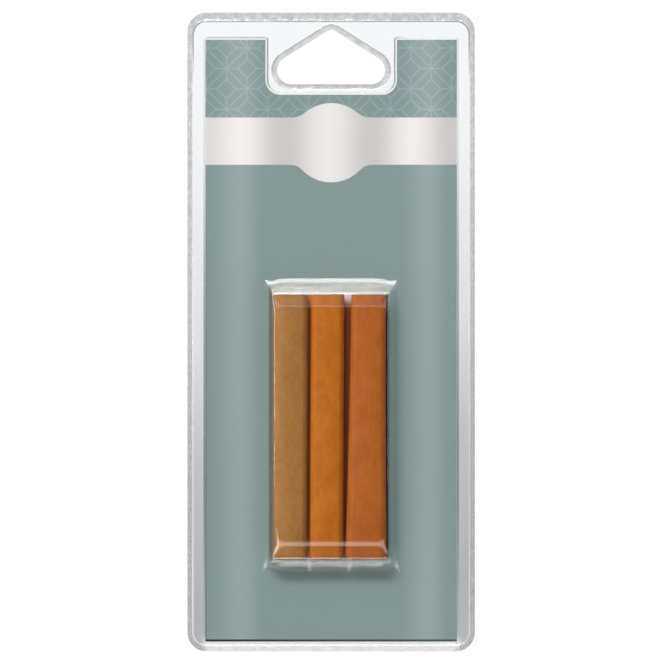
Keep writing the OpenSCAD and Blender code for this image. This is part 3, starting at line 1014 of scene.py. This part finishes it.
def wax_stick(name, node, x_middle, lean, swell, seed):
    bm = bmesh.new()
    bmesh.ops.create_cube(bm, size=1)
    bmesh.ops.scale(bm, vec=(STICK_W * MM, STICK_D * MM, STICK_L * MM), verts=bm.verts)
    rounded(bm, [e for e in bm.edges if rise(e) > MM], EDGE_R, 8)
    rounded(bm, [e for e in bm.edges if rise(e) < 1e-7], END_R, 4)
    for i in range(1, SLICES):
        level = (i / SLICES - 0.5) * (STICK_L - 2 * END_R) * MM
        bmesh.ops.bisect_plane(bm, geom=bm.verts[:] + bm.edges[:] + bm.faces[:],
                               plane_co=(0, 0, level), plane_no=(0, 0, 1))
    width, growth = swell
    for vert in bm.verts:
        side, depth = vert.co.x / (STICK_W / 2 * MM), vert.co.y / (STICK_D / 2 * MM)
        vert.co.y *= 1 - CROWN * side * side
        down = max(0, 0.5 - vert.co.z / (STICK_L * MM))
        vert.co.x *= (1 - CROWN / 4 * depth * depth) * (width + growth * down ** SWELL_POWER)
        sway = noise.noise(vert.co * SWAY_SCALE + Vector((seed, seed, seed)))
        vert.co -= vert.normal * (SINK + SWAY * sway) * MM
    bmesh.ops.rotate(bm, matrix=Matrix.Rotation(math.radians(lean), 3, "Y"), verts=bm.verts)
    bmesh.ops.translate(bm, vec=(x_middle * MM, STICK_Y * MM, STICK_Z * MM), verts=bm.verts)
    return piece(name, bm, "stick_" + node.split("_")[-1], node)


print("a stick holds about", round(STICK_W * STICK_D * STICK_L / 1000, 2), "ml before rounding")

# %% [markdown]
# ## Wax
# Wax is dull and a little translucent: light enters it and comes out beside where it went in,
# which softens the shading. A low share of subsurface scattering gives that. Slanted noise
# mixes a paler and a deeper tone, as the drag marks of casting do.

# %% Wax and the three sticks
DRAG_TURN, DRAG_STRETCH = math.radians(24), 0.6
FOOT_START, FOOT_END, FOOT_SHADE = -150 * MM, -164 * MM, -0.16


def wax(name, pale, mid, deep, seed):
    recipe = Recipe(name)
    place = recipe.place()
    drag = recipe.add("Mapping", Vector=place, Location=(seed, seed, seed),
                      Rotation=(0, DRAG_TURN, 0), Scale=(1, 1, DRAG_STRETCH)).outputs[0]
    streak = recipe.add("TexNoise", Vector=drag, Scale=800.0, Detail=5.0,
                        Roughness=0.6).outputs["Fac"]
    cloud = recipe.sum("MULTIPLY", recipe.grain(drag, 300.0, 2.0), 0.5)
    tone = recipe.sum("MULTIPLY_ADD", streak, 0.5, cloud)
    # Painted shade: the wax is darker towards the foot
    foot = recipe.span(recipe.axis(place, "Z"), FOOT_START, FOOT_END, 0.0, FOOT_SHADE)
    tone = recipe.sum("ADD", tone, foot)
    colour = recipe.ramp(tone, [(0.28, ink(deep)), (0.5, ink(mid)), (0.72, ink(pale))])
    return recipe.finish(recipe.add(
        "BsdfPrincipled", Base_Color=colour, Roughness=recipe.span(streak, 0.3, 0.7, 0.42, 0.6),
        Normal=recipe.bump(0.25, 0.12 * MM, streak), Specular_IOR_Level=0.15,
        Subsurface_Weight=0.1, Subsurface_Radius=(0.002, 0.001, 0.0005),
        Subsurface_Scale=0.5).outputs[0])


# Name, node, middle, lean in degrees, width at the top and its growth to the foot, tones
STICKS = [("wax_bar_tan", "wax_stick_tan", -12.625, 0.1, (1.0, -0.03),
           ("af7d47", "a5733d", "986731")),
          ("wax_bar_amber", "wax_stick_amber", -1.225, 0.3, (0.97, 0.015),
           ("c6761f", "bb6b17", "ab5f12")),
          ("wax_bar_terracotta", "wax_stick_terracotta", 11.275, 0.6, (1.02, 0.19),
           ("bb682a", "b06021", "a0551a"))]
bars = []
for number, (name, node, x_middle, lean, swell, tones) in enumerate(STICKS):
    bars.append(wax_stick(name, node, x_middle, lean, swell, 3.7 * number))
    bars[-1].data.materials.append(wax(name + "_wax", *tones, 0.31 * number))
print("sticks:", [bar.name for bar in bars])

# %% [markdown]
# ## Light linking
# A lamp can be told which pieces it lights. The strips draw highlights on the film and would
# wash out the card and the wax, so they light the front sheet only. The sticks are shaded from
# the side by a lamp of their own, and the key lamp leaves them alone.

# %% Highlights only where they belong
lit_by = {"key": [front_sheet, rear, card, floor], "side": bars}
lit_by |= {name: [front_sheet] for name in STRIPS}
for name, lit in lit_by.items():
    group = bpy.data.collections.new("lit_by_" + name)
    lamps[name].light_linking.receiver_collection = group
    for obj in lit:
        group.objects.link(obj)
    print(name, "lights", [obj.name for obj in lit])
